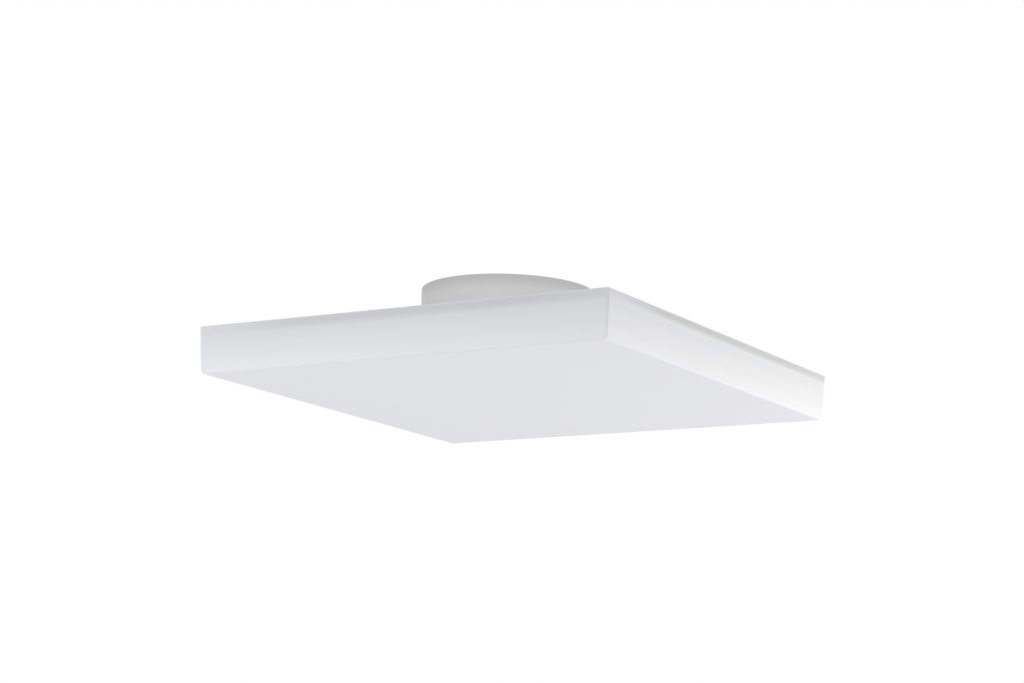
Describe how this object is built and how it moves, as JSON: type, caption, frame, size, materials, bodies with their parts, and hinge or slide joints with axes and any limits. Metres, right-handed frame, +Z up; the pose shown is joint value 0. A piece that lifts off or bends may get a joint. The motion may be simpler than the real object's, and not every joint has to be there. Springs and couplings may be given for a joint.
{
  "type": "flush mount ceiling light",
  "caption": "Square flush mount ceiling light: a shallow opal diffuser snapped onto a steel pan with LED bars, hung from the ceiling by a round canopy and a mounting strap.",
  "frame": {"origin": "on the ceiling plane, at the middle of the mounting strap and of the outlet box under it", "axes": "+Z up into the ceiling, +Y along the mounting strap towards the side where the lamp reaches out less, +X to the right when looking along +Y"},
  "size_m": [0.3556, 0.3556, 0.0846],
  "materials": {
    "opal_acrylic": "satin, translucent",
    "canopy_paint": "fine powder coat",
    "pan_paint": "white powder coat",
    "zinc_steel": "zinc plated",
    "screw_paint": "painted to match the canopy",
    "spring_steel": "bright spring strip",
    "ground_green": "green dyed zinc",
    "rivet_metal": "plain",
    "driver_plastic": "moulded, fine spark texture",
    "terminal_plastic": "moulded nylon",
    "bushing_rubber": "matte",
    "board_white": "white solder mask",
    "led_phosphor": "silicone gel over phosphor",
    "connector_nylon": "moulded nylon",
    "lead_red": "PVC sleeve",
    "lead_black": "PVC sleeve",
    "clip_nylon": "moulded nylon"
  },
  "bodies": {
    "fixture": {"mounting_strap": "zinc_steel", "ground_screw": "ground_green", "canopy": "canopy_paint", "canopy_side_screws": "screw_paint", "chassis_pan": "pan_paint", "canopy_rivets": "rivet_metal", "driver_base": "driver_plastic", "supply_terminal": "terminal_plastic", "output_terminal": "terminal_plastic", "driver_cover": "driver_plastic", "driver_screws": "zinc_steel", "lead_bushing": "bushing_rubber", "led_bar_1": "board_white", "led_bar_2": "board_white", "led_bar_3": "board_white", "led_bar_4": "board_white", "leds": "led_phosphor", "bar_screws": "zinc_steel", "bar_connectors": "connector_nylon", "jumper_leads": "lead_red", "feed_lead_red": "lead_red", "feed_lead_black": "lead_black", "lead_clips": "clip_nylon", "spring_clip_right": "spring_steel", "spring_clip_rear": "spring_steel", "spring_clip_left": "spring_steel", "spring_clip_front": "spring_steel", "clip_rivets": "rivet_metal"},
    "diffuser": {"diffuser": "opal_acrylic"}
  },
  "joints": [
    {"name": "diffuser_pull", "type": "slide", "parent": "fixture", "child": "diffuser", "axis": [0, 0, -1], "range_m": [0, 0.06], "deforming": ["spring_clip_right", "spring_clip_rear", "spring_clip_left", "spring_clip_front"]}
  ]
}
